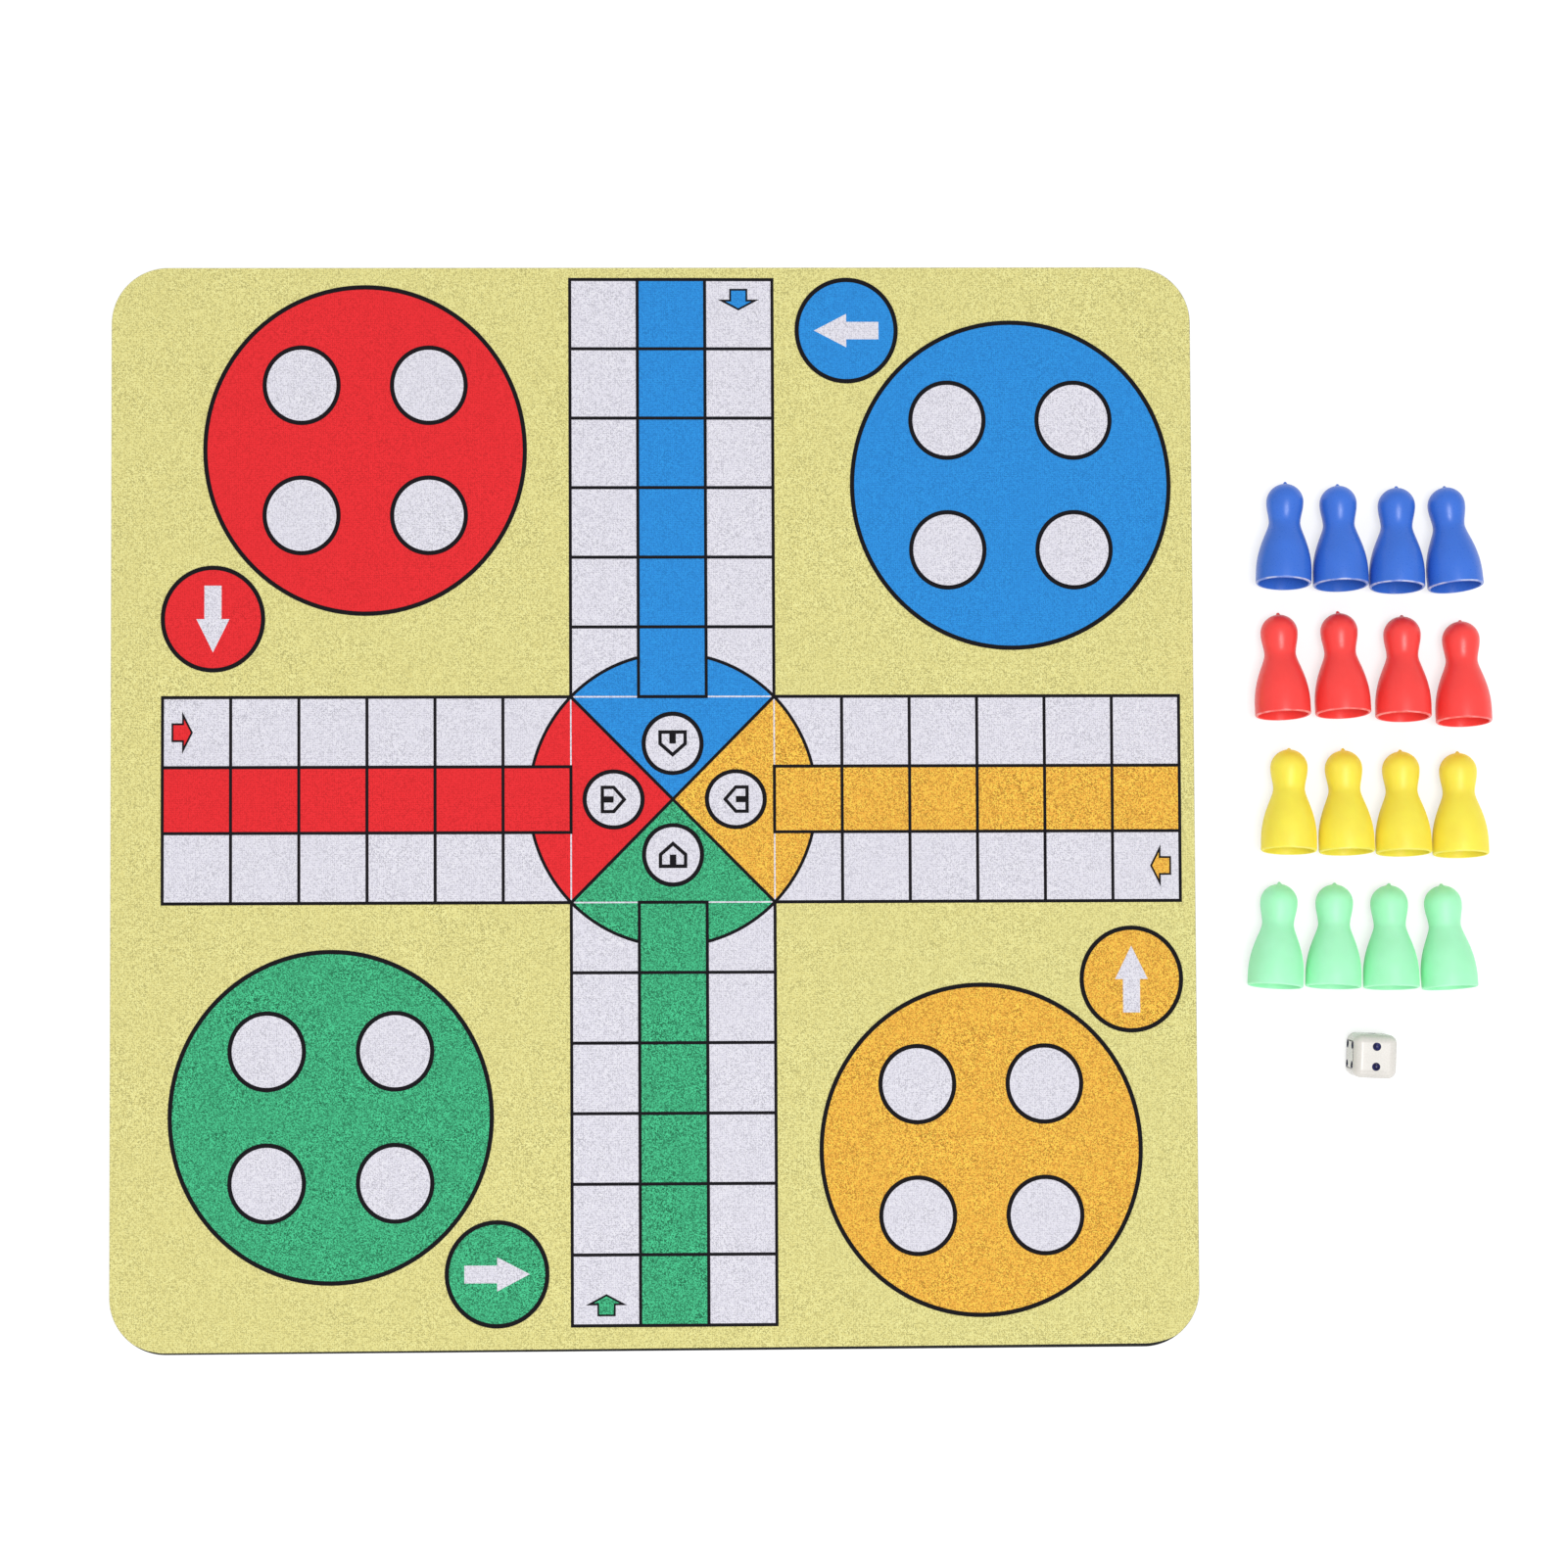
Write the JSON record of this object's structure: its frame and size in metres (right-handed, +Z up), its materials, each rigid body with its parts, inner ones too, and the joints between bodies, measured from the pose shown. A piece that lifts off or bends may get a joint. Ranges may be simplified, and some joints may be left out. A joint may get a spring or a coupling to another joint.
{
  "type": "race game mat with pawns and die",
  "caption": "Race game set: a square cloth-faced rubber mat printed with a cross-shaped track, with hollow plastic pawns and a pipped die lying beside it.",
  "frame": {"origin": "middle of the mat's underside, on the table", "axes": "+Z up from the table, +X from the mat towards the pawns, +Y towards the far side of the mat"},
  "size_m": [0.3179, 0.25, 0.0131],
  "materials": {
    "foam_rubber": "matt black foam rubber with a fine anti-slip texture",
    "printed_cloth": "fine polyester knit, dye printed, matt",
    "pawn_blue": "satin moulded plastic",
    "pawn_red": "satin moulded plastic",
    "pawn_yellow": "satin moulded plastic",
    "pawn_green": "satin moulded plastic, slightly translucent",
    "die_ivory": "polished moulded plastic with painted pips"
  },
  "bodies": {
    "mat": {"rubber_backing": "foam_rubber", "cloth_top": "printed_cloth"},
    "blue_pawn_1": {"blue_pawn_1": "pawn_blue"},
    "blue_pawn_2": {"blue_pawn_2": "pawn_blue"},
    "blue_pawn_3": {"blue_pawn_3": "pawn_blue"},
    "blue_pawn_4": {"blue_pawn_4": "pawn_blue"},
    "red_pawn_1": {"red_pawn_1": "pawn_red"},
    "red_pawn_2": {"red_pawn_2": "pawn_red"},
    "red_pawn_3": {"red_pawn_3": "pawn_red"},
    "red_pawn_4": {"red_pawn_4": "pawn_red"},
    "yellow_pawn_1": {"yellow_pawn_1": "pawn_yellow"},
    "yellow_pawn_2": {"yellow_pawn_2": "pawn_yellow"},
    "yellow_pawn_3": {"yellow_pawn_3": "pawn_yellow"},
    "yellow_pawn_4": {"yellow_pawn_4": "pawn_yellow"},
    "green_pawn_1": {"green_pawn_1": "pawn_green"},
    "green_pawn_2": {"green_pawn_2": "pawn_green"},
    "green_pawn_3": {"green_pawn_3": "pawn_green"},
    "green_pawn_4": {"green_pawn_4": "pawn_green"},
    "die": {"die": "die_ivory"}
  },
  "joints": [
    {"name": "blue_pawn_1_lift", "type": "slide", "parent": "mat", "child": "blue_pawn_1", "axis": [0, 0, 1], "range_m": [0, 0.06]},
    {"name": "blue_pawn_2_lift", "type": "slide", "parent": "mat", "child": "blue_pawn_2", "axis": [0, 0, 1], "range_m": [0, 0.06]},
    {"name": "blue_pawn_3_lift", "type": "slide", "parent": "mat", "child": "blue_pawn_3", "axis": [0, 0, 1], "range_m": [0, 0.06]},
    {"name": "blue_pawn_4_lift", "type": "slide", "parent": "mat", "child": "blue_pawn_4", "axis": [0, 0, 1], "range_m": [0, 0.06]},
    {"name": "red_pawn_1_lift", "type": "slide", "parent": "mat", "child": "red_pawn_1", "axis": [0, 0, 1], "range_m": [0, 0.06]},
    {"name": "red_pawn_2_lift", "type": "slide", "parent": "mat", "child": "red_pawn_2", "axis": [0, 0, 1], "range_m": [0, 0.06]},
    {"name": "red_pawn_3_lift", "type": "slide", "parent": "mat", "child": "red_pawn_3", "axis": [0, 0, 1], "range_m": [0, 0.06]},
    {"name": "red_pawn_4_lift", "type": "slide", "parent": "mat", "child": "red_pawn_4", "axis": [0, 0, 1], "range_m": [0, 0.06]},
    {"name": "yellow_pawn_1_lift", "type": "slide", "parent": "mat", "child": "yellow_pawn_1", "axis": [0, 0, 1], "range_m": [0, 0.06]},
    {"name": "yellow_pawn_2_lift", "type": "slide", "parent": "mat", "child": "yellow_pawn_2", "axis": [0, 0, 1], "range_m": [0, 0.06]},
    {"name": "yellow_pawn_3_lift", "type": "slide", "parent": "mat", "child": "yellow_pawn_3", "axis": [0, 0, 1], "range_m": [0, 0.06]},
    {"name": "yellow_pawn_4_lift", "type": "slide", "parent": "mat", "child": "yellow_pawn_4", "axis": [0, 0, 1], "range_m": [0, 0.06]},
    {"name": "green_pawn_1_lift", "type": "slide", "parent": "mat", "child": "green_pawn_1", "axis": [0, 0, 1], "range_m": [0, 0.06]},
    {"name": "green_pawn_2_lift", "type": "slide", "parent": "mat", "child": "green_pawn_2", "axis": [0, 0, 1], "range_m": [0, 0.06]},
    {"name": "green_pawn_3_lift", "type": "slide", "parent": "mat", "child": "green_pawn_3", "axis": [0, 0, 1], "range_m": [0, 0.06]},
    {"name": "green_pawn_4_lift", "type": "slide", "parent": "mat", "child": "green_pawn_4", "axis": [0, 0, 1], "range_m": [0, 0.06]},
    {"name": "die_lift", "type": "slide", "parent": "mat", "child": "die", "axis": [0, 0, 1], "range_m": [0, 0.06]}
  ]
}
